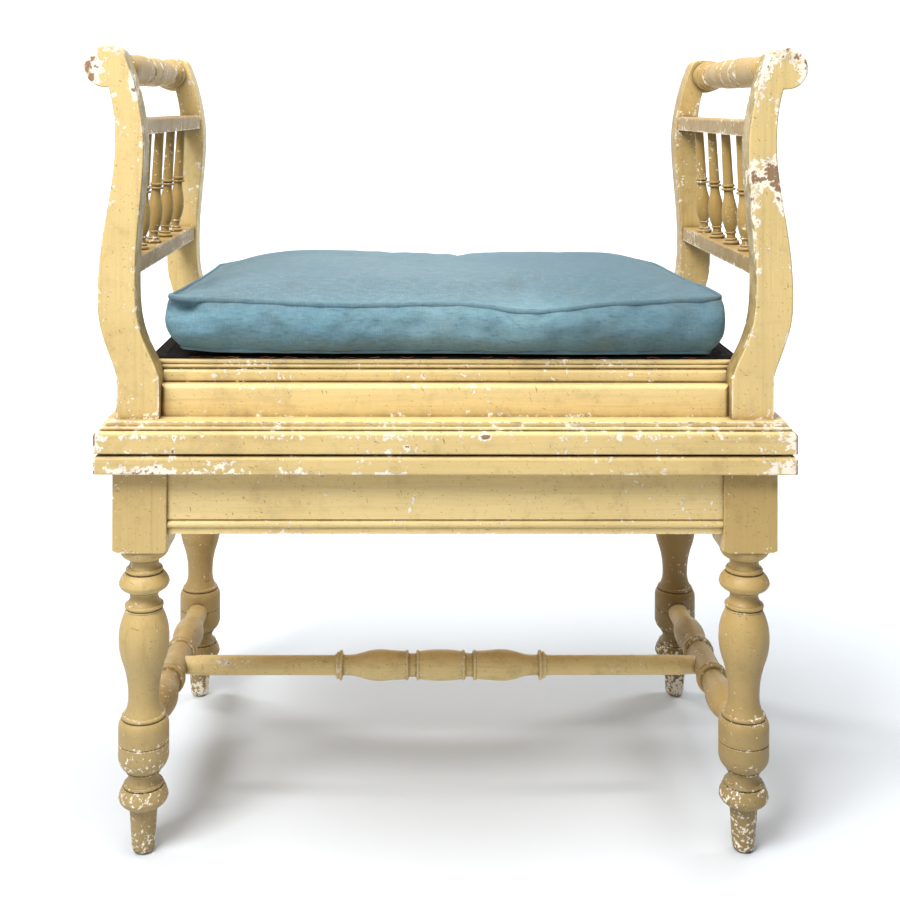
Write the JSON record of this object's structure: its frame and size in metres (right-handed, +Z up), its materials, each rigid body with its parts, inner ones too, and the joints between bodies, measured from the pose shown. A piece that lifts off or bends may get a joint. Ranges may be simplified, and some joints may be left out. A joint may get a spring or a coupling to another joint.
{
  "type": "piano bench with lift-up seat",
  "caption": "Painted turned-leg piano bench with scrolled spindle arms, a loose cushion and a hinged seat over a music compartment.",
  "frame": {"origin": "on the floor, at the centre of the bench's footprint", "axes": "+X to the right seen from the front, -Y the front, +Z up"},
  "size_m": [0.656, 0.401, 0.738],
  "materials": {
    "painted_wood": "old cream oil paint, worn and chipped at the edges",
    "bare_wood": "unpainted softwood, dulled with age",
    "seat_cover": "dark worn upholstery fabric",
    "cushion_cloth": "faded blue woven cotton",
    "brass": "tarnished",
    "screw_steel": "dull",
    "buffer_leather": "thin pressed leather"
  },
  "bodies": {
    "base": {"apron_back": "painted_wood", "apron_front": "painted_wood", "apron_left": "painted_wood", "apron_right": "painted_wood", "base_frame_back": "painted_wood", "base_frame_front": "painted_wood", "base_frame_left": "painted_wood", "base_frame_right": "painted_wood", "compartment_floor": "bare_wood", "cross_stretcher": "painted_wood", "hinge_leaves_base": "brass", "hinge_pins": "brass", "hinge_screws_base": "screw_steel", "leg_back_left": "painted_wood", "leg_back_right": "painted_wood", "leg_front_left": "painted_wood", "leg_front_right": "painted_wood", "lid_buffers": "buffer_leather", "side_stretcher_left": "painted_wood", "side_stretcher_right": "painted_wood"},
    "lid": {"arm_back_left": "painted_wood", "arm_back_right": "painted_wood", "arm_dowels": "bare_wood", "arm_front_left": "painted_wood", "arm_front_right": "painted_wood", "arm_lower_rail_left": "painted_wood", "arm_lower_rail_right": "painted_wood", "arm_upper_rail_left": "painted_wood", "arm_upper_rail_right": "painted_wood", "grip_left": "painted_wood", "grip_right": "painted_wood", "hinge_leaves_lid": "brass", "hinge_screws_lid": "screw_steel", "lid_frame_back": "painted_wood", "lid_frame_front": "painted_wood", "lid_frame_left": "painted_wood", "lid_frame_right": "painted_wood", "seat_band_back": "painted_wood", "seat_band_front": "painted_wood", "seat_band_left": "painted_wood", "seat_band_right": "painted_wood", "seat_board": "bare_wood", "seat_frame_back": "painted_wood", "seat_frame_front": "painted_wood", "seat_frame_left": "painted_wood", "seat_frame_right": "painted_wood", "seat_pad": "seat_cover", "seat_rail_back": "painted_wood", "seat_rail_front": "painted_wood", "seat_rail_left": "painted_wood", "seat_rail_right": "painted_wood", "spindle_left_1": "painted_wood", "spindle_left_2": "painted_wood", "spindle_left_3": "painted_wood", "spindle_left_4": "painted_wood", "spindle_right_1": "painted_wood", "spindle_right_2": "painted_wood", "spindle_right_3": "painted_wood", "spindle_right_4": "painted_wood"},
    "cushion": {"seat_cushion": "cushion_cloth"}
  },
  "joints": [
    {"name": "lid_hinge", "type": "hinge", "parent": "base", "child": "lid", "pos_m": [0, 0.1973, 0.3722], "axis": [-1, 0, 0], "range_deg": [0, 95]},
    {"name": "cushion_lift", "type": "slide", "parent": "lid", "child": "cushion", "axis": [0, 0, 1], "range_m": [0, 0.3]}
  ]
}
